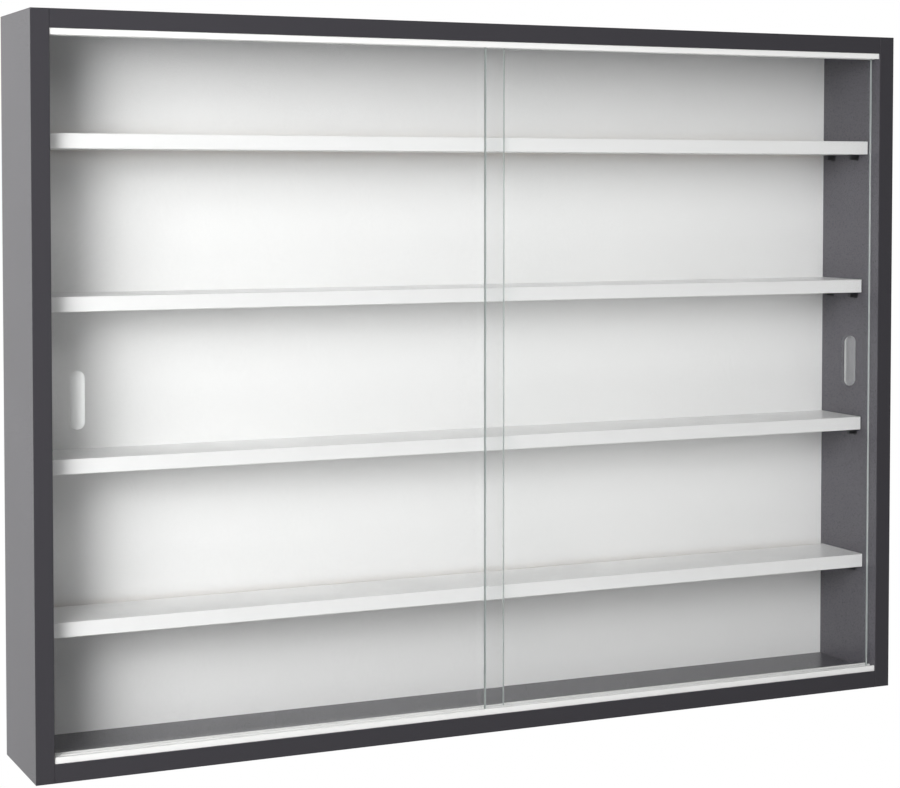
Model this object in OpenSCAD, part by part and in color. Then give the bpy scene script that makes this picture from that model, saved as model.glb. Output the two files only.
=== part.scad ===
// Shallow wall mounted showcase: a dark melamine carcass with a white back, four loose white
// shelves and two glass doors that slide past each other in double plastic tracks.
// Origin: on the wall plane, midway between the two keyhole entry holes. +X to the right,
// +Y into the wall, +Z up. The front of the cabinet faces -Y.

/* [Cabinet] */
// Overall width across the two side panels
cabinet_w = 800; // [600:10:1000]
// Overall height of the side panels
cabinet_h = 600; // [580:10:760]
// Overall depth from the front edge bands to the wall
cabinet_d = 100; // [100:1:130]
// Thickness of the side, top and bottom panels
panel_t = 15; // [15:1:18]
// Thickness of the glued edge bands
band_t = 0.6; // [0.4:0.2:1]

/* [Back panel] */
// Thickness of the white back panel
back_t = 3; // [2:0.5:3]
// Gap between the wall and the rear face of the back panel
back_recess = 6; // [4:0.5:6]
// How deep the back panel sits in the carcass grooves
groove_depth = 3; // [2:0.5:3]

/* [Shelves] */
// Thickness of a shelf
shelf_t = 12; // [10:1:16]
// Depth of a shelf from its front band to its rear edge
shelf_d = 64; // [60:1:64]
// Height of the lowest shelf's underside above the underside of the cabinet
first_shelf_z = 109; // [90:1:120]
// Height from one shelf's underside to the next
shelf_pitch = 128; // [96:32:128]
// How far behind the cabinet front each loose shelf lies, from the top one down
shelf_setbacks = [19, 27, 27, 22.5];

/* [Sliding doors] */
// Thickness of the glass
glass_t = 4; // [3:1:4]
// How far the two closed doors pass each other in the middle
door_overlap = 15; // [8:1:40]
// How far the right door stands open
right_door_open = 5.5; // [0:0.5:300]
// Height of a ground finger pull
pull_h = 46; // [30:1:60]
// Width of a ground finger pull
pull_w = 12; // [8:1:16]
// Distance from a door's outer edge to the middle of its pull
pull_inset = 22; // [15:1:40]
// Height of the right pull above the middle of its pane (the left pane is the same, turned half round)
pull_rise = 3.5; // [0:0.5:20]

/* [Tracks] */
// Front to back width of a double track
track_w = 16; // [15:0.5:16]
// How far the track lies behind the cabinet front
track_inset = 1.5; // [1:0.5:3]
// Height of a track that shows inside the cabinet
track_show = 5; // [4:0.5:6]
// How deep the top track is let into the top panel
track_sink = 5.5; // [5:0.5:6]

/* [Wall fixing] */
// Distance from the top of the cabinet down to the keyhole entry holes
hang_drop = 40; // [36:1:80]
// Distance from a side panel's outer face to the middle of its hanger plate
hanger_inset = 7; // [6.8:0.1:7.2]
// Radius of the keyhole's round entry hole
entry_r = 4.5; // [4:0.25:4.5]
// How far the cabinet drops onto its wall screws
keyhole_drop = 12; // [10:1:12]

/* [Hidden] */
$fn = 48;
eps = 0.5;
fit_gap = 0.2;
door_gap = 0.5;

inner_x = cabinet_w / 2 - panel_t;
outer_x = cabinet_w / 2;
y_front = -cabinet_d;
y_board = y_front + band_t;
z_top = hang_drop;
z_bottom = hang_drop - cabinet_h;
z_ceiling = z_top - panel_t;
z_floor = z_bottom + panel_t;
y_back_face = -back_recess - back_t;

// Shelves, numbered from the top down
shelf_count = len(shelf_setbacks);
shelf_x = inner_x - door_gap;
function shelf_z(n) = z_bottom + first_shelf_z + (shelf_count - n) * shelf_pitch;
function shelf_y(n) = y_front + shelf_setbacks[n - 1];

// Shelf pins
pin_r = 2.45;
pin_hole_r = 2.5;
pin_hole_depth = 9;
pin_reach = 8;
pin_tongue_w = 7;
pin_tongue_t = 2;
pin_collar_r = 3.6;
pin_collar_t = 1;
pin_depths = [37, 75];

// Corner fittings: one cam between two dowels at each end of the top and bottom panels
dowel_depths = [27, 78];
dowel_r = 3.9;
dowel_hole_r = 4;
dowel_in_side = 10;
dowel_in_panel = 20;
cam_depth = 52;
cam_setback = 24;
cam_r = 7.3;
cam_hole_r = 7.5;
cam_hole_depth = 12.5;
cam_cap_t = 1;
cam_slot_r = 3.8;
cam_cross_w = 1.4;
cam_cross_l = 9;
cam_cross_h = 2.5;
bolt_thread_r = 2.45;
bolt_hole_r = 2.5;
bolt_in_side = 11;
bolt_shank_r = 3.5;
bolt_channel_r = 4;
bolt_neck_r = 2.2;
bolt_neck_l = 5;
bolt_head_r = 3.4;
bolt_head_l = 3;
bolt_head_start = 0.8;

// Doors and tracks
door_w = inner_x - door_gap + door_overlap / 2;
track_wall = 2;
track_web = 1.2;
track_rib = track_w - 2 * track_wall;
track_groove_w = (track_rib - track_wall) / 2;
y_track = y_front + track_inset;
y_front_groove = y_track + track_wall;
y_rear_groove = y_front_groove + track_groove_w + track_wall;
glass_side_gap = (track_groove_w - glass_t) / 2;
z_glass = z_floor + track_web + fit_gap;
glass_engage = 4.4;
glass_h = z_ceiling - track_show + glass_engage - z_glass;
z_door_middle = z_glass + glass_h / 2;
pull_depth = 2;
pull_ball_r = (pow(pull_w / 2, 2) + pow(pull_depth, 2)) / (2 * pull_depth);
pull_run = pull_h - pull_w;

// Keyhole hanger plates
hanger_x = outer_x - hanger_inset;
plate_r = 6.4;
plate_t = 1.5;
plate_low = 9.5;
plate_high = 27.5;
plate_screw_low = -11;
plate_screw_high = 28.5;
slot_r = 2.3;
pocket_r = 4.6;
pocket_depth = 11;
screw_r = 1.5;
screw_head_r = 2.9;
screw_hole_r = 1.6;
screw_l = 12;
screw_cross_l = 3;
screw_cross_w = 0.7;
screw_cross_h = 0.8;

graphite = "#55565c";
graphite_edge = "#4a4b50";
melamine_white = "#eceded";
track_white = "#f4f4f2";
glass_tint = [0.8, 0.9, 0.88, 0.35];
zinc = "#b9bcc0";
burnished_steel = "#45474b";
beech = "#c9a77a";

// ---- helpers ----

// A box between its lowest and highest corners
module slab(low, high) {
    translate(low) cube(high - low);
}

// The children, drawn for the right half, and their mirror image
module both_sides() {
    children();
    mirror([1, 0, 0]) children();
}

// The children, drawn for the top right corner with z = 0 on the outer face, at all four corners
module at_corners() {
    both_sides() {
        translate([0, 0, z_top]) children();
        translate([0, 0, z_bottom]) mirror([0, 0, 1]) children();
    }
}

// A cylinder that runs along +X from a point
module rod_x(start, r, l) {
    translate(start) rotate([0, 90, 0]) cylinder(r = r, h = l);
}

// A round-ended upright slot seen from the wall, running into the board from y to y - deep
module slot_y(x, y, z_low, z_high, r, deep) {
    for (z = [z_low, z_high])
        translate([x, y, z]) rotate([90, 0, 0]) cylinder(r = r, h = deep);
    slab([x - r, y - deep, z_low], [x + r, y, z_high]);
}

// ---- carcass panels ----

// Holes in a side panel for one end of a cross panel, with z = 0 on the outer face
module side_corner_holes() {
    for (d = dowel_depths)
        rod_x([inner_x - eps, y_front + d, -panel_t / 2], dowel_hole_r, dowel_in_side + eps);
    rod_x([inner_x - eps, y_front + cam_depth, -panel_t / 2], bolt_hole_r, bolt_in_side + eps);
}

module side_panel() {
    difference() {
        slab([inner_x, y_board, z_bottom + band_t], [outer_x, 0, z_top - band_t]);
        slab([inner_x - eps, y_back_face, z_floor - groove_depth],
             [inner_x + groove_depth, -back_recess, z_ceiling + groove_depth]);
        for (n = [1:shelf_count])
            for (d = pin_depths)
                rod_x([inner_x - eps, y_front + d, shelf_z(n) - pin_r], pin_hole_r,
                      pin_hole_depth + eps);
        translate([0, 0, z_top]) side_corner_holes();
        translate([0, 0, z_bottom]) mirror([0, 0, 1]) side_corner_holes();
        slot_y(hanger_x, eps, -plate_low, plate_high, plate_r + fit_gap / 2, plate_t + eps);
        slot_y(hanger_x, eps, 0, keyhole_drop, pocket_r, pocket_depth + eps);
        for (z = [plate_screw_low, plate_screw_high])
            translate([hanger_x, eps, z]) rotate([90, 0, 0])
                cylinder(r = screw_hole_r, h = screw_l + 2 * eps);
    }
}

module left_side_panel() {
    color(graphite) mirror([1, 0, 0]) side_panel();
}

module right_side_panel() {
    color(graphite) side_panel();
}

// A panel across the carcass, drawn as the top one with z = 0 on its outer face
module cross_panel() {
    difference() {
        slab([-inner_x, y_board, -panel_t], [inner_x, 0, 0]);
        slab([-inner_x - eps, y_back_face, -panel_t - eps],
             [inner_x + eps, -back_recess, -panel_t + groove_depth]);
        both_sides() {
            for (d = dowel_depths)
                rod_x([inner_x - dowel_in_panel, y_front + d, -panel_t / 2], dowel_hole_r,
                      dowel_in_panel + eps);
            rod_x([inner_x - cam_setback, y_front + cam_depth, -panel_t / 2], bolt_channel_r,
                  cam_setback + eps);
            translate([inner_x - cam_setback, y_front + cam_depth, -cam_hole_depth])
                cylinder(r = cam_hole_r, h = cam_hole_depth + eps);
        }
    }
}

module top_panel() {
    color(graphite) difference() {
        translate([0, 0, z_top]) cross_panel();
        slab([-inner_x - eps, y_track, z_ceiling - eps],
             [inner_x + eps, y_track + track_w, z_ceiling + track_sink]);
    }
}

module bottom_panel() {
    color(graphite) translate([0, 0, z_bottom]) mirror([0, 0, 1]) cross_panel();
}

module back_panel() {
    reach = groove_depth - fit_gap;
    color(melamine_white)
        slab([-inner_x - reach, y_back_face, z_floor - reach],
             [inner_x + reach, -back_recess, z_ceiling + reach]);
}

// ---- edge bands ----

module side_band() {
    slab([inner_x, y_front, z_bottom], [outer_x, y_board, z_top]);
}

module left_side_band() {
    color(graphite_edge) mirror([1, 0, 0]) side_band();
}

module right_side_band() {
    color(graphite_edge) side_band();
}

module top_panel_band() {
    color(graphite_edge) slab([-inner_x, y_front, z_ceiling], [inner_x, y_board, z_top]);
}

module bottom_panel_band() {
    color(graphite_edge) slab([-inner_x, y_front, z_bottom], [inner_x, y_board, z_floor]);
}

module side_end_bands() {
    color(graphite_edge) both_sides() {
        slab([inner_x, y_board, z_top - band_t], [outer_x, 0, z_top]);
        slab([inner_x, y_board, z_bottom], [outer_x, 0, z_bottom + band_t]);
    }
}

// ---- shelves ----

module shelf(n) {
    color(melamine_white)
        slab([-shelf_x, shelf_y(n) + band_t, shelf_z(n)],
             [shelf_x, shelf_y(n) + shelf_d, shelf_z(n) + shelf_t]);
}

module shelf_band(n) {
    color(track_white)
        slab([-shelf_x, shelf_y(n), shelf_z(n)],
             [shelf_x, shelf_y(n) + band_t, shelf_z(n) + shelf_t]);
}

// A shelf pin: a round plug in the side panel that carries a flat tongue under the shelf
module shelf_pin(n, depth) {
    y = y_front + depth;
    z = shelf_z(n);
    rod_x([inner_x - pin_reach, y, z - pin_r], pin_r, pin_reach + pin_hole_depth - fit_gap);
    intersection() {
        rod_x([inner_x - pin_collar_t, y, z - pin_r], pin_collar_r, pin_collar_t);
        slab([inner_x - pin_collar_t, y - pin_collar_r, z - 2 * pin_collar_r],
             [inner_x, y + pin_collar_r, z]);
    }
    slab([inner_x - pin_reach, y - pin_tongue_w / 2, z - pin_tongue_t],
         [inner_x, y + pin_tongue_w / 2, z]);
}

module shelf_pins(n) {
    color(burnished_steel) both_sides()
        for (depth = pin_depths)
            shelf_pin(n, depth);
}

module shelf_1() { shelf(1); }
module shelf_2() { shelf(2); }
module shelf_3() { shelf(3); }
module shelf_4() { shelf(4); }

module shelf_1_band() { shelf_band(1); }
module shelf_2_band() { shelf_band(2); }
module shelf_3_band() { shelf_band(3); }
module shelf_4_band() { shelf_band(4); }

module shelf_1_pins() { shelf_pins(1); }
module shelf_2_pins() { shelf_pins(2); }
module shelf_3_pins() { shelf_pins(3); }
module shelf_4_pins() { shelf_pins(4); }

// ---- tracks ----

// The two grooves of a double track between two heights
module track_grooves(z_low, z_high) {
    for (y = [y_front_groove, y_rear_groove])
        slab([-inner_x - eps, y, z_low], [inner_x + eps, y + track_groove_w, z_high]);
}

module top_track() {
    color(track_white) difference() {
        slab([-inner_x, y_track, z_ceiling - track_show],
             [inner_x, y_track + track_w, z_ceiling + track_sink]);
        track_grooves(z_ceiling - track_show - eps, z_ceiling + track_sink - track_web);
    }
}

module bottom_track() {
    color(track_white) difference() {
        slab([-inner_x, y_track, z_floor], [inner_x, y_track + track_w, z_floor + track_show]);
        track_grooves(z_floor + track_web, z_floor + track_show + eps);
    }
}

// ---- glass doors ----

// The path of the ball shaped wheel that grinds a round-ended pull into the outer face of a door
module pull_cut(x, y_face, rise) {
    translate([x, y_face - pull_ball_r + pull_depth, z_door_middle + rise]) {
        cylinder(r = pull_ball_r, h = pull_run, center = true);
        for (end = [-1, 1])
            translate([0, 0, end * pull_run / 2]) sphere(r = pull_ball_r);
    }
}

module glass_door(x_low, x_pull, rise, y_groove) {
    y_face = y_groove + glass_side_gap;
    color(glass_tint) difference() {
        slab([x_low, y_face, z_glass], [x_low + door_w, y_face + glass_t, z_glass + glass_h]);
        pull_cut(x_pull, y_face, rise);
    }
}

module left_glass_door() {
    edge = -inner_x + door_gap;
    glass_door(edge, edge + pull_inset, -pull_rise, y_rear_groove);
}

module right_glass_door() {
    edge = inner_x - door_gap - right_door_open;
    glass_door(edge - door_w, edge - pull_inset, pull_rise, y_front_groove);
}

// ---- corner fittings ----

// Zinc cam that lies in the outer face of a cross panel
module cam_housing() {
    x = inner_x - cam_setback;
    y = y_front + cam_depth;
    cam_top = -cam_cap_t;
    difference() {
        translate([x, y, fit_gap - cam_hole_depth])
            cylinder(r = cam_r, h = cam_hole_depth - fit_gap - cam_cap_t);
        slab([x, y - cam_slot_r, -panel_t / 2 - cam_slot_r],
             [x + cam_hole_r, y + cam_slot_r, -panel_t / 2 + cam_slot_r]);
        for (turn = [45, 135])
            translate([x, y, cam_top]) rotate([0, 0, turn])
                cube([cam_cross_l, cam_cross_w, 2 * cam_cross_h], center = true);
    }
}

// Bolt screwed into the side panel, with its head drawn in by the cam
module cam_bolt() {
    x = inner_x - cam_setback + bolt_head_start;
    y = y_front + cam_depth;
    z = -panel_t / 2;
    shank_x = x + bolt_head_l + bolt_neck_l;
    rod_x([x, y, z], bolt_head_r, bolt_head_l);
    rod_x([x + bolt_head_l, y, z], bolt_neck_r, bolt_neck_l);
    rod_x([shank_x, y, z], bolt_shank_r, inner_x - shank_x);
    rod_x([inner_x, y, z], bolt_thread_r, bolt_in_side - fit_gap);
}

module cam_housings() {
    color(zinc) at_corners() cam_housing();
}

module cam_bolts() {
    color(zinc) at_corners() cam_bolt();
}

module corner_dowels() {
    color(beech) at_corners()
        for (d = dowel_depths)
            rod_x([inner_x - dowel_in_panel + eps, y_front + d, -panel_t / 2], dowel_r,
                  dowel_in_panel + dowel_in_side - 2 * eps);
}

module cam_caps() {
    color(graphite) at_corners()
        translate([inner_x - cam_setback, y_front + cam_depth, -cam_cap_t])
            cylinder(r = cam_r, h = cam_cap_t);
}

// ---- wall fixing ----

// Keyhole plate let into the rear edge of a side panel, its outer face in the wall plane
module hanger_plate() {
    difference() {
        slot_y(hanger_x, 0, -plate_low, plate_high, plate_r, plate_t);
        translate([hanger_x, eps, 0]) rotate([90, 0, 0]) cylinder(r = entry_r, h = plate_t + 2 * eps);
        slot_y(hanger_x, eps, 0, keyhole_drop, slot_r, plate_t + 2 * eps);
        for (z = [plate_screw_low, plate_screw_high])
            translate([hanger_x, 0, z]) rotate([90, 0, 0]) {
                translate([0, 0, -eps]) cylinder(r = screw_hole_r, h = plate_t + 2 * eps);
                cylinder(r1 = screw_head_r, r2 = screw_hole_r, h = plate_t);
            }
    }
}

module left_hanger_plate() {
    color(zinc) mirror([1, 0, 0]) hanger_plate();
}

module right_hanger_plate() {
    color(zinc) hanger_plate();
}

// Countersunk screws that hold the hanger plates, their heads flush with the plates
module hanger_screws() {
    head_gap = fit_gap / 2;
    head_h = plate_t - head_gap;
    color(zinc) both_sides()
        for (z = [plate_screw_low, plate_screw_high])
            translate([hanger_x, -head_gap, z]) rotate([90, 0, 0]) difference() {
                union() {
                    cylinder(r1 = screw_head_r - 4 * head_gap, r2 = screw_r, h = head_h);
                    cylinder(r = screw_r, h = screw_l);
                }
                for (turn = [0, 90])
                    rotate([0, 0, turn])
                        cube([screw_cross_l, screw_cross_w, 2 * screw_cross_h], center = true);
            }
}

left_side_panel();
right_side_panel();
top_panel();
bottom_panel();
back_panel();
shelf_1();
shelf_2();
shelf_3();
shelf_4();
left_side_band();
right_side_band();
top_panel_band();
bottom_panel_band();
side_end_bands();
shelf_1_band();
shelf_2_band();
shelf_3_band();
shelf_4_band();
top_track();
bottom_track();
left_glass_door();
right_glass_door();
shelf_1_pins();
shelf_2_pins();
shelf_3_pins();
shelf_4_pins();
cam_housings();
cam_bolts();
corner_dowels();
cam_caps();
left_hanger_plate();
right_hanger_plate();
hanger_screws();
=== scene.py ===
# %% [markdown]
# # A wall mounted showcase
# This lesson builds the looks of a shallow wall cabinet: a graphite melamine carcass, a white back,
# four white shelves, and two glass doors that slide past each other in plastic tracks. Everything
# here is in metres and takes its place from that frame, so nothing has to be fitted later.

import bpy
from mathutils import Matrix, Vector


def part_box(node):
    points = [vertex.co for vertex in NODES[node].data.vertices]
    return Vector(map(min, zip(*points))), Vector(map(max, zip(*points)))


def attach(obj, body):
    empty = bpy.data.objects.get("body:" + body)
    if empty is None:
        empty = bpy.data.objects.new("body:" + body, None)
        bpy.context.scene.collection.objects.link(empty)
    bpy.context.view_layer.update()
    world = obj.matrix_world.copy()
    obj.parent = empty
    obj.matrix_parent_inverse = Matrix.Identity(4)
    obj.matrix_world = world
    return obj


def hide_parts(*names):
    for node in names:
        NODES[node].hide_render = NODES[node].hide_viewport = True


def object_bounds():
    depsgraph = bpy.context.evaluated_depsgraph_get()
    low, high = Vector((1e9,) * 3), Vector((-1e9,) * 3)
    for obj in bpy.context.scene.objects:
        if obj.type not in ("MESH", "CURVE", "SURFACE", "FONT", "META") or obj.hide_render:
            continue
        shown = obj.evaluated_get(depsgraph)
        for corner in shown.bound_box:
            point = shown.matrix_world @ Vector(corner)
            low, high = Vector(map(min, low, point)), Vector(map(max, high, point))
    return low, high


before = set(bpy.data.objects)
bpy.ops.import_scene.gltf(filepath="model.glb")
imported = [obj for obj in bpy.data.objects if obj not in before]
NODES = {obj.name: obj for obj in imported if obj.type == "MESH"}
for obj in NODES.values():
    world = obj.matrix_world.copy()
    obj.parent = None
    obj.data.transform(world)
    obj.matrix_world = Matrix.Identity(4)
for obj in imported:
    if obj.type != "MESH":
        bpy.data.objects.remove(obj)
cad_low, cad_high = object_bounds()
print("CAD box", [round(v, 4) for v in (*cad_low, *cad_high)])

# %% Other modules and the unit
import math
import bmesh
import bpy
from mathutils import Matrix, Vector

MM = 0.001
SCENE = bpy.context.scene

# %% [markdown]
# ## The camera
# The picture is taken with a long lens from the left and a little above the middle. Upright edges
# stay nearly upright because most of the height difference is taken up by shifting the lens and only
# a little by tilting the camera down. A straight tilt alone would make the sides lean together.

# %% Camera
CAMERA_PLACE = Vector((-0.7851, -1.7140, -0.0967))
CAMERA_TURN = 24.545
CAMERA_TILT = 2.31
SENSOR, LENS = 36, 85.1
LENS_SHIFT = -0.135


def add_camera():
    data = bpy.data.cameras.new("camera")
    data.sensor_width = SENSOR
    data.lens = LENS
    data.shift_y = LENS_SHIFT
    data.clip_start, data.clip_end = 0.05, 60
    camera = bpy.data.objects.new("camera", data)
    camera.location = CAMERA_PLACE
    camera.rotation_euler = (math.radians(90 - CAMERA_TILT), 0, math.radians(-CAMERA_TURN))
    SCENE.collection.objects.link(camera)
    SCENE.camera = camera
    return camera


print("camera at", [round(v, 3) for v in add_camera().location])

# %% [markdown]
# ## A few node helpers
# A material in Blender is a small graph. These helpers keep the graphs short to write: `add` makes a
# node and sets its sockets by name, and `feed` turns a value that is itself a socket into a link.
# `blend_shaders` is for glass and for the studio, where one kind of ray has to meet another shader.

# %% Node helpers
def feed(tree, socket, value):
    if isinstance(value, bpy.types.NodeSocket):
        tree.links.new(value, socket)
    else:
        socket.default_value = value


def socket_named(node, key):
    wanted = key.replace("_", " ").lower()
    for socket in node.inputs:
        if socket.enabled and socket.name.lower() == wanted:
            return socket
    raise KeyError(f"{node.bl_idname} has no socket {key}")


def add(tree, kind, **values):
    node = tree.nodes.new(kind)
    for key, value in values.items():
        feed(tree, socket_named(node, key), value)
    return node


def math_node(tree, operation, first, second=0.0, third=0.0):
    node = tree.nodes.new("ShaderNodeMath")
    node.operation = operation
    for socket, value in zip(node.inputs, (first, second, third)):
        feed(tree, socket, value)
    return node.outputs[0]


def blend_colours(tree, share, first, second):
    node = tree.nodes.new("ShaderNodeMix")
    node.data_type = "RGBA"
    feed(tree, node.inputs[0], share)
    for socket, colour in ((node.inputs[6], first), (node.inputs[7], second)):
        feed(tree, socket, (*colour, 1) if isinstance(colour, tuple) else colour)
    return node.outputs[2]


def spread(tree, value, low, high, to_low=0.0, to_high=1.0):
    node = add(tree, "ShaderNodeMapRange", Value=value, From_Min=low, From_Max=high)
    node.inputs["To Min"].default_value = to_low
    node.inputs["To Max"].default_value = to_high
    return node.outputs[0]


def new_material(name):
    material = bpy.data.materials.new(name)
    material.use_nodes = True
    material.node_tree.nodes.clear()
    return material, material.node_tree


def close_material(tree, shader):
    output = tree.nodes.new("ShaderNodeOutputMaterial")
    tree.links.new(shader, output.inputs["Surface"])


def blend_shaders(tree, share, first, second):
    node = tree.nodes.new("ShaderNodeMixShader")
    for socket, value in zip(node.inputs, (share, first.outputs[0], second.outputs[0])):
        tree.links.new(value, socket)
    return node.outputs[0]


def object_place(tree, scale=None):
    place = tree.nodes.new("ShaderNodeTexCoord").outputs["Object"]
    if scale:
        place = add(tree, "ShaderNodeMapping", Vector=place, Scale=scale).outputs[0]
    return place


def noise(tree, place, scale, detail=2.0, roughness=0.5):
    return add(tree, "ShaderNodeTexNoise", Vector=place, Scale=scale, Detail=detail,
               Roughness=roughness).outputs["Fac"]


print("node helpers ready")

# %% [markdown]
# ## Melamine board
# Melamine board is chipboard between two printed sheets pressed with resin. The sheet has a satin
# skin with a very fine pearl texture, and every sawn edge shows the chips. Two materials could do
# this, but the line between them would have to be modelled. It's simpler to let one material ask how
# deep a point lies in the board: within a quarter of a millimetre of either face it's the skin, and
# anything deeper, such as a groove, a hole or the rear edge, is the core.

# %% Melamine skin and chipboard core
SKIN = 0.25 * MM
CHIP_DARK = (0.30, 0.19, 0.10)
CHIP_LIGHT = (0.62, 0.46, 0.28)


def core_colour(tree, place):
    chips = add(tree, "ShaderNodeTexVoronoi", Vector=place, Scale=620.0)
    grain = noise(tree, place, 900.0, 4.0, 0.6)
    tone = math_node(tree, "MULTIPLY_ADD", chips.outputs["Color"], 0.6,
                     math_node(tree, "MULTIPLY", grain, 0.5))
    return blend_colours(tree, tone, CHIP_DARK, CHIP_LIGHT), chips.outputs["Distance"]


def depth_in_board(tree, place, axis, middle, thickness):
    parts = add(tree, "ShaderNodeSeparateXYZ", Vector=place)
    off_middle = math_node(tree, "ABSOLUTE", math_node(tree, "SUBTRACT", parts.outputs[axis], middle))
    return math_node(tree, "LESS_THAN", off_middle, thickness / 2 - SKIN)


def melamine_board(name, colour, fleck, axis, middle, thickness, roughness):
    material, tree = new_material(name)
    place = object_place(tree)
    core, chip_edge = core_colour(tree, place)
    inside = depth_in_board(tree, place, axis, middle, thickness)
    pearl = noise(tree, place, 1500.0, 2.0, 0.6)
    cloud = noise(tree, place, 14.0, 3.0)
    skin = blend_colours(tree, spread(tree, pearl, 0.35, 0.75), colour, fleck)
    skin = blend_colours(tree, spread(tree, cloud, 0.3, 0.7, 0.0, 0.12), skin, (0.0, 0.0, 0.0))
    skin_rough = spread(tree, pearl, 0.3, 0.7, roughness - 0.05, roughness + 0.05)
    rough = math_node(tree, "MAXIMUM", skin_rough, math_node(tree, "MULTIPLY", inside, 0.85))
    height = math_node(tree, "MULTIPLY_ADD", math_node(tree, "MULTIPLY", chip_edge, inside), 0.6,
                       math_node(tree, "MULTIPLY", pearl, 0.006))
    bump = add(tree, "ShaderNodeBump", Height=height, Strength=0.5, Distance=0.3 * MM)
    shader = add(tree, "ShaderNodeBsdfPrincipled", Base_Color=blend_colours(tree, inside, skin, core),
                 Roughness=rough, Normal=bump.outputs[0])
    close_material(tree, shader.outputs[0])
    return material


GRAPHITE = (0.080, 0.076, 0.088)
GRAPHITE_FLECK = (0.100, 0.096, 0.110)
WHITE = (0.83, 0.83, 0.825)
WHITE_FLECK = (0.87, 0.87, 0.865)
side_low, side_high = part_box("right_side_panel")
PANEL_T = side_high.x - side_low.x
print("panels are", round(PANEL_T / MM, 2), "mm thick")

# %% Dress the four carcass panels
def dress(node, *materials):
    slots = NODES[node].data.materials
    slots.clear()
    for material in materials:
        slots.append(material)


for node, axis in (("left_side_panel", "X"), ("right_side_panel", "X"),
                   ("top_panel", "Z"), ("bottom_panel", "Z")):
    low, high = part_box(node)
    middle = (low.x + high.x) / 2 if axis == "X" else (low.z + high.z) / 2
    board = melamine_board(node + "_board", GRAPHITE, GRAPHITE_FLECK, axis, middle, PANEL_T, 0.30)
    dress(node, board)
    print(node, "has its middle plane at", axis, round(middle, 4))

# %% [markdown]
# ## The white back
# The back is thin hardboard, lacquered white on the side that shows and left brown on the wall side.
# The same trick works again: the lacquer is a layer of 0.15 mm behind the front face.

# %% Back panel
LACQUER = 0.15 * MM


def hardboard_back():
    material, tree = new_material("lacquered_hardboard")
    place = object_place(tree)
    parts = add(tree, "ShaderNodeSeparateXYZ", Vector=place)
    bare = math_node(tree, "GREATER_THAN", parts.outputs["Y"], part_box("back_panel")[0].y + LACQUER)
    peel = noise(tree, place, 420.0, 3.0)
    fibre = noise(tree, object_place(tree, (1, 1, 3)), 800.0, 5.0, 0.7)
    patch = noise(tree, place, 9.0, 3.0)
    brown = blend_colours(tree, spread(tree, fibre, 0.35, 0.7), (0.17, 0.095, 0.05), (0.33, 0.20, 0.11))
    brown = blend_colours(tree, spread(tree, patch, 0.3, 0.7, 0.0, 0.35), brown, (0.24, 0.15, 0.09))
    white = blend_colours(tree, spread(tree, peel, 0.3, 0.7), WHITE, WHITE_FLECK)
    rough = math_node(tree, "MULTIPLY_ADD", bare, 0.4, spread(tree, peel, 0.3, 0.7, 0.42, 0.52))
    height = math_node(tree, "MULTIPLY_ADD", math_node(tree, "MULTIPLY", fibre, bare), 0.9,
                       math_node(tree, "MULTIPLY", peel, 0.08))
    bump = add(tree, "ShaderNodeBump", Height=height, Strength=0.4, Distance=0.25 * MM)
    shader = add(tree, "ShaderNodeBsdfPrincipled", Base_Color=blend_colours(tree, bare, white, brown),
                 Roughness=rough, Normal=bump.outputs[0])
    close_material(tree, shader.outputs[0])
    return material


dress("back_panel", hardboard_back())
print("back panel is lacquered on one side")

# %% [markdown]
# ## From a bmesh to a finished piece
# Every new piece starts as a bmesh and ends the same way: it becomes an object at the origin, it's
# shaded smooth with weighted normals so that flats stay flat and only the rounded edges turn, it rides
# on its CAD body, and it hides the CAD node that it stands for.

# %% Finishing a piece
SHARP_ANGLE = math.radians(50)
SAME_PLACE = 0.001 * MM


def as_object(shape, name, materials):
    mesh = bpy.data.meshes.new(name)
    shape.to_mesh(mesh)
    shape.free()
    for material in materials:
        mesh.materials.append(material)
    made = bpy.data.objects.new(name, mesh)
    SCENE.collection.objects.link(made)
    return made


def finish_piece(shape, name, materials, replaced, body="carcass"):
    bmesh.ops.recalc_face_normals(shape, faces=shape.faces)
    piece = as_object(shape, name, materials)
    piece.data.shade_smooth()
    piece.data.set_sharp_from_angle(angle=SHARP_ANGLE)
    piece.modifiers.new("even_normals", "WEIGHTED_NORMAL").keep_sharp = True
    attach(piece, body)
    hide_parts(*replaced)
    print(name, len(piece.data.polygons), "faces")


# %% A block, its edges, and rounding them
def block(shape, low, high):
    low, high = Vector(low), Vector(high)
    made = bmesh.ops.create_cube(shape, size=1)["verts"]
    bmesh.ops.scale(shape, vec=high - low, verts=made)
    bmesh.ops.translate(shape, vec=(low + high) / 2, verts=made)
    return made


def edges_of(verts, wanted):
    return [e for e in dict.fromkeys(e for v in verts for e in v.link_edges) if wanted(*e.verts)]


def round_edges(shape, edges, radius, segments=3):
    bmesh.ops.bevel(shape, geom=edges, offset=radius, offset_type="OFFSET", affect="EDGES",
                    segments=segments, profile=0.5, material=-1, clamp_overlap=True)


print("finishing helpers ready")

# %% [markdown]
# ## Edge bands
# A band is a thin plastic strip glued to a sawn edge and trimmed with a small radius. That radius is
# what catches the light along the front of a real cabinet. A bevel on the edges of the outer face
# makes it: the glued side stays square and meets the board without a gap.

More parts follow.
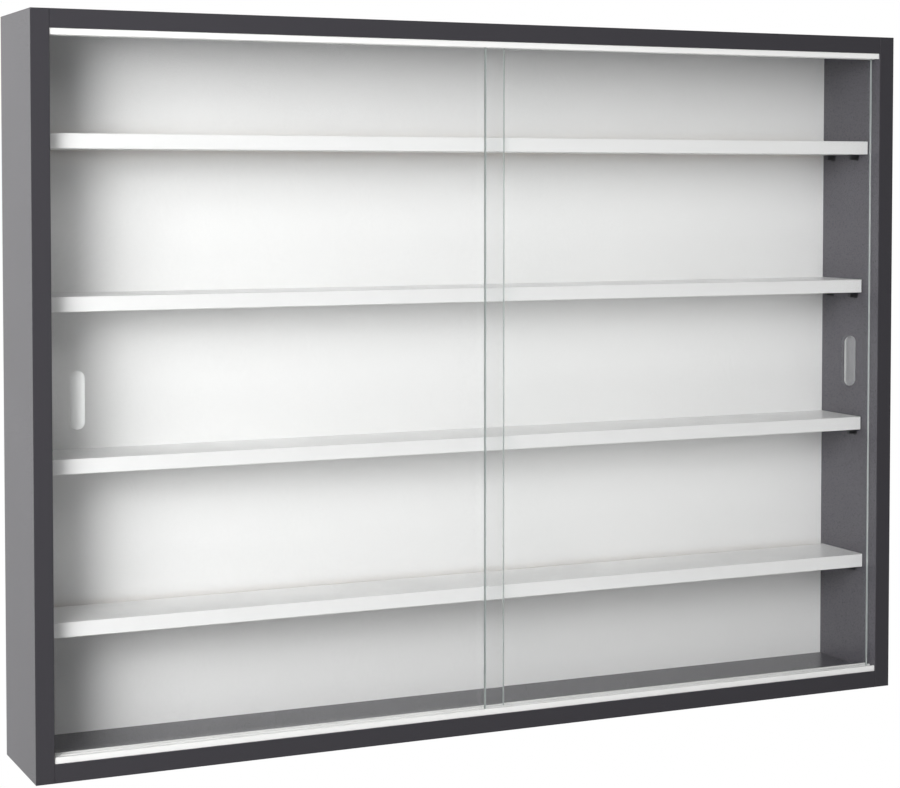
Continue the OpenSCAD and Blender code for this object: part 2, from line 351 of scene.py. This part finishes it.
# %% Band material
def band_plastic(name, colour, fleck, roughness):
    material, tree = new_material(name)
    place = object_place(tree)
    pebble = noise(tree, place, 1900.0, 2.0)
    smear = noise(tree, place, 35.0, 2.0)
    rough = math_node(tree, "ADD", spread(tree, pebble, 0.3, 0.7, roughness - 0.04, roughness + 0.04),
                      spread(tree, smear, 0.3, 0.7, -0.03, 0.03))
    bump = add(tree, "ShaderNodeBump", Height=pebble, Strength=0.25, Distance=0.05 * MM)
    shader = add(tree, "ShaderNodeBsdfPrincipled",
                 Base_Color=blend_colours(tree, spread(tree, pebble, 0.35, 0.75), colour, fleck),
                 Roughness=rough, Normal=bump.outputs[0])
    close_material(tree, shader.outputs[0])
    return material


graphite_band = band_plastic("graphite_band", (0.039, 0.037, 0.043), (0.050, 0.048, 0.055), 0.40)
white_band = band_plastic("white_band", (0.82, 0.82, 0.815), (0.85, 0.85, 0.845), 0.38)
print("band plastics ready")

# %% Front bands and end bands
BAND_RADIUS = 0.45 * MM


def outer_face_edges(verts, axis, value):
    return edges_of(verts, lambda *ends: all(abs(v.co[axis] - value) < SAME_PLACE for v in ends))


def front_band(node, material):
    shape = bmesh.new()
    low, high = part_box(node)
    made = block(shape, low, high)
    round_edges(shape, outer_face_edges(made, 1, low.y), BAND_RADIUS)
    finish_piece(shape, node + "_strip", [material], [node])


for node in ("left_side_band", "right_side_band", "top_panel_band", "bottom_panel_band"):
    front_band(node, graphite_band)
for number in (1, 2, 3, 4):
    front_band(f"shelf_{number}_band", white_band)

# %% End bands of the side panels
def end_bands():
    shape = bmesh.new()
    low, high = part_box("side_end_bands")
    band_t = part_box("left_side_band")[1].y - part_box("left_side_band")[0].y
    for x0, x1 in ((low.x, low.x + PANEL_T), (high.x - PANEL_T, high.x)):
        for z0, z1, outer in ((high.z - band_t, high.z, high.z), (low.z, low.z + band_t, low.z)):
            made = block(shape, (x0, low.y, z0), (x1, high.y, z1))
            edges = [e for e in outer_face_edges(made, 2, outer)
                     if abs(e.verts[0].co.y - e.verts[1].co.y) > band_t]
            round_edges(shape, edges, BAND_RADIUS)
    finish_piece(shape, "side_end_strips", [graphite_band], ["side_end_bands"])


end_bands()

# %% [markdown]
# ## Shelves
# A shelf is a length of 12 mm white board with a band on its front edge. The long arrises are eased
# a little so that they don't look like paper edges, and the sawn ends and the rear edge show the core.

# %% Shelf boards
SHELF_WHITE, SHELF_FLECK = (0.87, 0.87, 0.865), (0.90, 0.90, 0.895)
SHELF_EASING = 0.2 * MM


def shelf_board(node):
    shape = bmesh.new()
    low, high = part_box(node)
    made = block(shape, low, high)
    edges = edges_of(made, lambda a, b: min(a.co.y, b.co.y) > low.y + SHELF_EASING)
    round_edges(shape, edges, SHELF_EASING, 2)
    board = melamine_board(node + "_board", SHELF_WHITE, SHELF_FLECK, "Z", (low.z + high.z) / 2,
                           high.z - low.z, 0.30)
    finish_piece(shape, node + "_panel", [board], [node])


for number in (1, 2, 3, 4):
    shelf_board(f"shelf_{number}")

# %% [markdown]
# ## Sliding door tracks
# A double track is an extruded plastic strip with three walls and two grooves. It could be cut from a
# block with booleans, but it's quicker to start from its floor: a flat strip of five bands, of which
# the three outer and middle ones are extruded into walls. The lips are then rounded, as an
# extrusion's always are. The lower track stands on the bottom panel. The upper one is deeper and let
# into the top panel, so a door can be lifted into it and taken out.

# %% Track plastic
def track_plastic():
    material, tree = new_material("white_track_plastic")
    along = object_place(tree, (0.05, 1, 1))
    draw = noise(tree, along, 900.0, 3.0)
    cloud = noise(tree, object_place(tree), 22.0, 2.0)
    colour = blend_colours(tree, spread(tree, cloud, 0.3, 0.7), (0.82, 0.82, 0.81), (0.86, 0.86, 0.85))
    bump = add(tree, "ShaderNodeBump", Height=draw, Strength=0.3, Distance=0.04 * MM)
    shader = add(tree, "ShaderNodeBsdfPrincipled", Base_Color=colour,
                 Roughness=spread(tree, draw, 0.3, 0.7, 0.30, 0.40), Normal=bump.outputs[0])
    close_material(tree, shader.outputs[0])
    return material


TRACK_WALL, TRACK_FLOOR = 2 * MM, 1.2 * MM
TRACK_END_GAP = 0.2 * MM
LIP_RADIUS = 0.45 * MM
track_white = track_plastic()
print("track walls are", TRACK_WALL / MM, "mm")

# %% Track strips
def track(node, up):
    low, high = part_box(node)
    groove = (high.y - low.y - 3 * TRACK_WALL) / 2
    lines = [low.y, low.y + TRACK_WALL, low.y + TRACK_WALL + groove,
             high.y - TRACK_WALL - groove, high.y - TRACK_WALL, high.y]
    back_z = low.z if up else high.z
    lip_z = high.z if up else low.z
    step = 1 if up else -1
    shape = bmesh.new()
    strip = bmesh.ops.create_grid(shape, x_segments=1, y_segments=5, size=0.5)["verts"]
    bmesh.ops.scale(shape, vec=(high.x - low.x - 2 * TRACK_END_GAP, 1, 1), verts=strip)
    rows = sorted({round(v.co.y, 6) for v in strip})
    for v in strip:
        v.co.y = lines[min(range(6), key=lambda i: abs(rows[i] - v.co.y))]
        v.co.z = back_z
    base = list(shape.faces)
    top = bmesh.ops.extrude_face_region(shape, geom=base)["geom"]
    bmesh.ops.translate(shape, vec=(0, 0, step * TRACK_FLOOR),
                        verts=[g for g in top if isinstance(g, bmesh.types.BMVert)])
    floor_faces = sorted((g for g in top if isinstance(g, bmesh.types.BMFace)),
                         key=lambda f: f.calc_center_median().y)
    for wall in floor_faces[::2]:
        raised = bmesh.ops.extrude_face_region(shape, geom=[wall])["geom"]
        bmesh.ops.translate(shape, vec=(0, 0, lip_z - back_z - step * TRACK_FLOOR),
                            verts=[g for g in raised if isinstance(g, bmesh.types.BMVert)])
        bmesh.ops.delete(shape, geom=[wall], context="FACES_ONLY")
    lips = [e for e in shape.edges if all(abs(v.co.z - lip_z) < SAME_PLACE for v in e.verts)
            and abs(e.verts[0].co.x - e.verts[1].co.x) > TRACK_WALL]
    round_edges(shape, lips, LIP_RADIUS)
    finish_piece(shape, node + "_strip", [track_white], [node])


track("bottom_track", up=True)
track("top_track", up=False)

# %% [markdown]
# ## Glass
# Sliding doors are clear float glass with ground edges. From the front the sheet is nearly
# colourless. Its edges are finely ground and look like grey, slightly green frosting, and the finger
# pulls like paler frosting. A frosted surface both scatters light and lets it through, and a
# Transmission of less than one gives that mix. A glass shader alone would shut lamps out of the
# cabinet, so shadow rays and diffuse rays meet a Transparent shader instead and pass, as they do
# through a real pane.

# %% Glass materials
def glass(name, tint, veil, roughness, transmission=1.0, grain=0.0):
    material, tree = new_material(name)
    shader = add(tree, "ShaderNodeBsdfPrincipled", Base_Color=(*tint, 1), IOR=1.5,
                 Transmission_Weight=transmission, Roughness=roughness)
    if grain:
        frost = noise(tree, object_place(tree), 3500.0, 2.0)
        bump = add(tree, "ShaderNodeBump", Height=frost, Strength=grain, Distance=0.1 * MM)
        tree.links.new(bump.outputs[0], shader.inputs["Normal"])
    clear = add(tree, "ShaderNodeBsdfTransparent", Color=(*veil, 1))
    light = tree.nodes.new("ShaderNodeLightPath")
    passes = math_node(tree, "MAXIMUM", light.outputs["Is Shadow Ray"], light.outputs["Is Diffuse Ray"])
    close_material(tree, blend_shaders(tree, passes, shader, clear))
    return material


GLASS_FACE, GLASS_EDGE, GLASS_PULL = 0, 1, 2
door_glass = [glass("clear_glass", (0.99, 0.992, 0.992), (0.986, 0.988, 0.988), 0.0),
              glass("ground_edge", (0.45, 0.50, 0.485), (0.76, 0.79, 0.785), 0.35, 0.5, 0.2),
              glass("ground_pull", (0.92, 0.935, 0.93), (0.82, 0.84, 0.83), 0.35, 0.82, 0.4)]
print("glass materials", [m.name for m in door_glass])

# %% [markdown]
# ## Doors and their ground pulls
# The finger pull is ground into the outer face with a ball shaped wheel that is moved straight down,
# which leaves a shallow dish with round ends. The surest way to get that shape is to do the same. A
# sphere with no ring of points on its equator can be pulled apart: moving its upper half up and its
# lower half down stretches the middle band into a tube. A boolean then takes this path of the ball out
# of the pane, and the ball's faces carry the frosted material into the cut. Both panes are the same
# piece: the left one is turned half round, so its pull is as far below the middle as the other is above.

# %% The pane and the path of the ball
ARRIS = 0.5 * MM
PULL_INSET = 22 * MM
PULL_H, PULL_W, PULL_DEPTH = 46 * MM, 12 * MM, 2 * MM
PULL_RISE = 3.5 * MM


def pane(low, high):
    shape = bmesh.new()
    block(shape, low, high)
    bmesh.ops.bevel(shape, geom=list(shape.edges), offset=ARRIS, offset_type="OFFSET",
                    affect="EDGES", segments=1, profile=0.5, material=-1)
    for face in shape.faces:
        face.material_index = GLASS_FACE if abs(face.normal.y) > 0.99 else GLASS_EDGE
    return shape


def ball_path(middle):
    ball = ((PULL_W / 2) ** 2 + PULL_DEPTH ** 2) / (2 * PULL_DEPTH)
    shape = bmesh.new()
    bmesh.ops.create_uvsphere(shape, u_segments=160, v_segments=79, radius=ball)
    for step in (-1, 1):
        half = [v for v in shape.verts if v.co.z * step > 0]
        bmesh.ops.translate(shape, vec=(0, 0, step * (PULL_H - PULL_W) / 2), verts=half)
    bmesh.ops.translate(shape, vec=middle - Vector((0, ball - PULL_DEPTH, 0)), verts=shape.verts)
    for face in shape.faces:
        face.material_index = GLASS_PULL
    return shape


# %% Grind the pulls
def glass_door(node, body, pull_side):
    low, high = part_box(node)
    outer_edge = low.x if pull_side < 0 else high.x
    middle_z = (low.z + high.z) / 2
    pull = Vector((outer_edge - pull_side * PULL_INSET, low.y, middle_z + pull_side * PULL_RISE))
    sheet = as_object(pane(low, high), node + "_blank", door_glass)
    ball = as_object(ball_path(pull), "ball_path", door_glass)
    cut = sheet.modifiers.new("grind", "BOOLEAN")
    cut.operation, cut.solver, cut.object = "DIFFERENCE", "EXACT", ball
    shape = bmesh.new()
    shape.from_object(sheet, bpy.context.evaluated_depsgraph_get())
    for used in (sheet, ball):
        bpy.data.objects.remove(used)
    finish_piece(shape, node + "_pane", door_glass, [node], body)


glass_door("left_glass_door", "left_door", -1)
glass_door("right_glass_door", "right_door", 1)

# %% [markdown]
# ## Hardware
# Cam fittings and hanger plates are zinc plated or cast zinc, and the shelf pins are burnished black.
# Plating isn't a mirror: it has a fine, cloudy grain, so roughness comes from two sizes of noise. The
# dowels are beech.

# %% Metals, wood and caps
def zinc(name, colour, low_rough, high_rough, pits):
    material, tree = new_material(name)
    place = object_place(tree)
    cloud = noise(tree, place, 260.0, 4.0, 0.65)
    fine = noise(tree, place, 2600.0, 2.0)
    shade = blend_colours(tree, spread(tree, cloud, 0.3, 0.7), colour, tuple(0.82 * c for c in colour))
    bump = add(tree, "ShaderNodeBump", Height=fine, Strength=pits, Distance=0.05 * MM)
    shader = add(tree, "ShaderNodeBsdfPrincipled", Base_Color=shade, Metallic=1.0,
                 Roughness=spread(tree, cloud, 0.3, 0.7, low_rough, high_rough), Normal=bump.outputs[0])
    close_material(tree, shader.outputs[0])
    return material


def beech():
    material, tree = new_material("beech")
    grain = noise(tree, object_place(tree, (0.15, 1, 1)), 1400.0, 4.0, 0.6)
    colour = blend_colours(tree, grain, (0.42, 0.26, 0.13), (0.66, 0.47, 0.28))
    bump = add(tree, "ShaderNodeBump", Height=grain, Strength=0.3, Distance=0.1 * MM)
    shader = add(tree, "ShaderNodeBsdfPrincipled", Base_Color=colour, Normal=bump.outputs[0],
                 Roughness=spread(tree, grain, 0.3, 0.7, 0.55, 0.7))
    close_material(tree, shader.outputs[0])
    return material


zinc_plate = zinc("zinc_plating", (0.66, 0.67, 0.69), 0.22, 0.38, 0.15)
zinc_cast = zinc("cast_zinc", (0.52, 0.53, 0.55), 0.40, 0.58, 0.5)
burnished = zinc("burnished_steel", (0.11, 0.11, 0.118), 0.38, 0.5, 0.3)
cap_plastic = band_plastic("cap_plastic", (0.044, 0.044, 0.048), (0.055, 0.055, 0.06), 0.42)

for node in ("cam_bolts", "left_hanger_plate", "right_hanger_plate", "hanger_screws"):
    dress(node, zinc_plate)
dress("cam_housings", zinc_cast)
dress("corner_dowels", beech())
print("hardware dressed")

# %% [markdown]
# ## Shelf pins
# A shelf pin is a plug in the side panel with a thin collar against the wall and a flat tongue that
# the shelf lies on. It's pressed from steel, so every edge is a little round. Each pin is made once at
# the right size along X: a bevelled rod, a collar cut flat where it would meet the shelf, and a tongue
# whose free corners are rounded. A negative scale along X makes the left hand pins, and finishing the
# piece turns their normals the right way out again.

# %% One pin
PIN_R, PIN_OUT, PIN_IN = 2.45 * MM, 8 * MM, 8.8 * MM
ROD_SHORT, ROD_SLACK, ROD_EASING = 0.3 * MM, 0.01 * MM, 0.4 * MM
COLLAR_R, COLLAR_T, COLLAR_EASING = 3.6 * MM, 1 * MM, 0.25 * MM
TONGUE_W, TONGUE_T, TONGUE_CORNER = 7 * MM, 2 * MM, 2 * MM


def rod_along_x(shape, x_low, x_high, radius, easing):
    rod = bmesh.ops.create_cone(shape, cap_ends=True, segments=48, radius1=radius, radius2=radius,
                                depth=x_high - x_low)["verts"]
    bmesh.ops.rotate(shape, verts=rod, matrix=Matrix.Rotation(math.pi / 2, 3, "Y"))
    bmesh.ops.translate(shape, vec=((x_low + x_high) / 2, 0, 0), verts=rod)
    rims = edges_of(rod, lambda a, b: abs(a.co.x - b.co.x) < SAME_PLACE)
    round_edges(shape, rims, easing, 2)


def shelf_pin():
    shape = bmesh.new()
    rod_along_x(shape, -COLLAR_T, 0, COLLAR_R, COLLAR_EASING)
    cut = bmesh.ops.bisect_plane(shape, geom=[*shape.verts, *shape.edges, *shape.faces],
                                 plane_co=(0, 0, PIN_R), plane_no=(0, 0, 1), clear_outer=True)
    bmesh.ops.holes_fill(shape, edges=[g for g in cut["geom_cut"] if isinstance(g, bmesh.types.BMEdge)])
    rod_along_x(shape, -PIN_OUT + ROD_SHORT, PIN_IN, PIN_R - ROD_SLACK, ROD_EASING)
    tongue = block(shape, (-PIN_OUT, -TONGUE_W / 2, PIN_R - TONGUE_T), (0, TONGUE_W / 2, PIN_R))
    free_end = outer_face_edges(tongue, 0, -PIN_OUT)
    corners = [e for e in free_end if abs(e.verts[0].co.y - e.verts[1].co.y) < SAME_PLACE]
    round_edges(shape, corners, TONGUE_CORNER, 6)
    return shape


# %% Sixteen pins under the shelves
def shelf_pins(number, pattern):
    node = f"shelf_{number}_pins"
    low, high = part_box(node)
    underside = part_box(f"shelf_{number}")[0].z
    shape = bmesh.new()
    for side, wall in ((1, high.x - PIN_IN), (-1, low.x + PIN_IN)):
        for y in (low.y + COLLAR_R, high.y - COLLAR_R):
            before = set(shape.verts)
            shape.from_mesh(pattern)
            pin = [v for v in shape.verts if v not in before]
            bmesh.ops.scale(shape, vec=(side, 1, 1), verts=pin)
            bmesh.ops.translate(shape, vec=(wall, y, underside - PIN_R), verts=pin)
    finish_piece(shape, node + "_set", [burnished], [node])


pin_shape = shelf_pin()
pin_pattern = bpy.data.meshes.new("pin_pattern")
pin_shape.to_mesh(pin_pattern)
pin_shape.free()
for number in (1, 2, 3, 4):
    shelf_pins(number, pin_pattern)
bpy.data.meshes.remove(pin_pattern)

# %% [markdown]
# ## Cover caps
# A small plastic disc hides each cam. Moulded caps have a softened rim and a shallow dish, so the disc
# gets a bevel, and its face is inset and sunk a little.

# %% Cam cover caps
CAP_T = 1 * MM
CAP_RIM, CAP_DISH, CAP_EASING = 1.1 * MM, 0.18 * MM, 0.25 * MM


def cap_disc(shape, centre, radius, outward):
    disc = bmesh.ops.create_cone(shape, cap_ends=True, segments=64, radius1=radius, radius2=radius,
                                 depth=CAP_T)["verts"]
    bmesh.ops.translate(shape, vec=centre, verts=disc)
    face = max({f for v in disc for f in v.link_faces if len(f.verts) > 4},
               key=lambda f: outward * f.calc_center_median().z)
    bmesh.ops.inset_individual(shape, faces=[face], thickness=CAP_RIM)
    bmesh.ops.inset_individual(shape, faces=[face], thickness=CAP_EASING, depth=-CAP_DISH)
    top_edges = outer_face_edges(disc, 2, centre.z + outward * CAP_T / 2)
    rim = [e for e in top_edges
           if all((v.co.xy - centre.xy).length > radius - CAP_EASING for v in e.verts)]
    round_edges(shape, rim, CAP_EASING, 2)


def cam_caps():
    shape = bmesh.new()
    low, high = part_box("cam_caps")
    radius = (high.y - low.y) / 2
    for x in (low.x + radius, high.x - radius):
        for z, outward in ((high.z - CAP_T / 2, 1), (low.z + CAP_T / 2, -1)):
            cap_disc(shape, Vector((x, (low.y + high.y) / 2, z)), radius, outward)
    finish_piece(shape, "cam_cover_caps", [cap_plastic], ["cam_caps"])


cam_caps()

# %% [markdown]
# ## Studio
# The cabinet hangs clear of a plain pale floor, in front of a plain pale surround. Where the camera
# sees the floor it's as bright as the surround, so no horizon crosses the picture, and for soft light
# it's ordinary matt paint. Rays that leave a pane pass it by, so the panes don't mirror its far edge.

# %% Floor
FLOOR_DROP = 1.1
FLOOR_RADIUS = 25


def studio_floor():
    material, tree = new_material("studio_floor")
    tone = noise(tree, object_place(tree), 3.0, 3.0)
    paint = add(tree, "ShaderNodeBsdfPrincipled", Roughness=0.9,
                Base_Color=blend_colours(tree, tone, (0.89, 0.89, 0.89), (0.91, 0.91, 0.91)))
    glow = add(tree, "ShaderNodeEmission", Color=(1, 1, 1, 1), Strength=1.0)
    seen = tree.nodes.new("ShaderNodeLightPath").outputs["Is Camera Ray"]
    close_material(tree, blend_shaders(tree, seen, paint, glow))
    shape = bmesh.new()
    bmesh.ops.create_circle(shape, cap_ends=True, radius=FLOOR_RADIUS, segments=96)
    bmesh.ops.translate(shape, vec=(0, 0, cad_low.z - FLOOR_DROP), verts=shape.verts)
    floor = as_object(shape, "studio_floor", [material])
    floor.visible_glossy = False
    floor.visible_transmission = False
    return floor


print("floor at", round(studio_floor().data.vertices[0].co.z, 3))

# %% [markdown]
# The surround's light is a faint even one plus three soft glows. Each glow is brightest in one
# direction, given as an azimuth from the front and a height in degrees, and fades as a power of the
# cosine of the angle from it. One is behind on the left, where the cabinet's side mirrors it, and the
# others keep the right side and the back readable.

# %% Surround
EVEN_LIGHT = 0.1
GLOWS = ((-150, 5, 4, 0.34), (135, 10, 4, 0.8), (180, 20, 2, 0.6))


def glow(tree, direction, azimuth, height, power, strength):
    turn, lift = math.radians(azimuth), math.radians(height)
    facing = tree.nodes.new("ShaderNodeVectorMath")
    facing.operation = "DOT_PRODUCT"
    tree.links.new(direction, facing.inputs[0])
    facing.inputs[1].default_value = (math.sin(turn) * math.cos(lift),
                                      -math.cos(turn) * math.cos(lift), math.sin(lift))
    ahead = math_node(tree, "MAXIMUM", facing.outputs["Value"], 0.0)
    return math_node(tree, "MULTIPLY", math_node(tree, "POWER", ahead, power), strength)


def surround():
    world = bpy.data.worlds.new("surround")
    SCENE.world = world
    world.use_nodes = True
    tree = world.node_tree
    tree.nodes.clear()
    direction = tree.nodes.new("ShaderNodeTexCoord").outputs["Generated"]
    total = EVEN_LIGHT
    for azimuth, height, power, strength in GLOWS:
        total = math_node(tree, "ADD", glow(tree, direction, azimuth, height, power, strength), total)
    lit = add(tree, "ShaderNodeBackground", Color=(1, 1, 1, 1), Strength=total)
    plain = add(tree, "ShaderNodeBackground", Color=(1, 1, 1, 1), Strength=1.0)
    seen = tree.nodes.new("ShaderNodeLightPath").outputs["Is Camera Ray"]
    output = tree.nodes.new("ShaderNodeOutputWorld")
    tree.links.new(blend_shaders(tree, seen, lit, plain), output.inputs["Surface"])


surround()
print(len(GLOWS), "glows in the surround")

# %% [markdown]
# The lamps are round softboxes. Two large ones stand far off at the front left, one above the other,
# and give the shadow that the left side panel throws on the back. A small one close by lights the left
# end more than the right, and one above the front lights the shelves. Panes would mirror the boxes as
# white discs, so rays that come off or through the glass don't see them, as if a polarising filter
# were on the lens.

# %% Lamps
CENTRE = (cad_low + cad_high) / 2


def softbox(name, offset, size, power):
    data = bpy.data.lights.new(name, "AREA")
    data.shape, data.size, data.energy = "DISK", size, power
    lamp = bpy.data.objects.new(name, data)
    lamp.location = CENTRE + Vector(offset)
    lamp.rotation_euler = (-Vector(offset)).to_track_quat("-Z", "Y").to_euler()
    lamp.visible_camera = lamp.visible_glossy = lamp.visible_transmission = False
    SCENE.collection.objects.link(lamp)


softbox("far_low", (-2.9, -2.9, 0.3), 2.4, 40)
softbox("far_high", (-2.9, -2.9, 1.2), 2.4, 85)
softbox("near_left", (-1.0, -1.0, 0.3), 0.5, 6.6)
softbox("above_front", (-0.5, -1.5, 1.0), 0.9, 6.2)
SCENE.view_settings.view_transform = "Standard"
print("lamps placed round", [round(v, 3) for v in CENTRE])
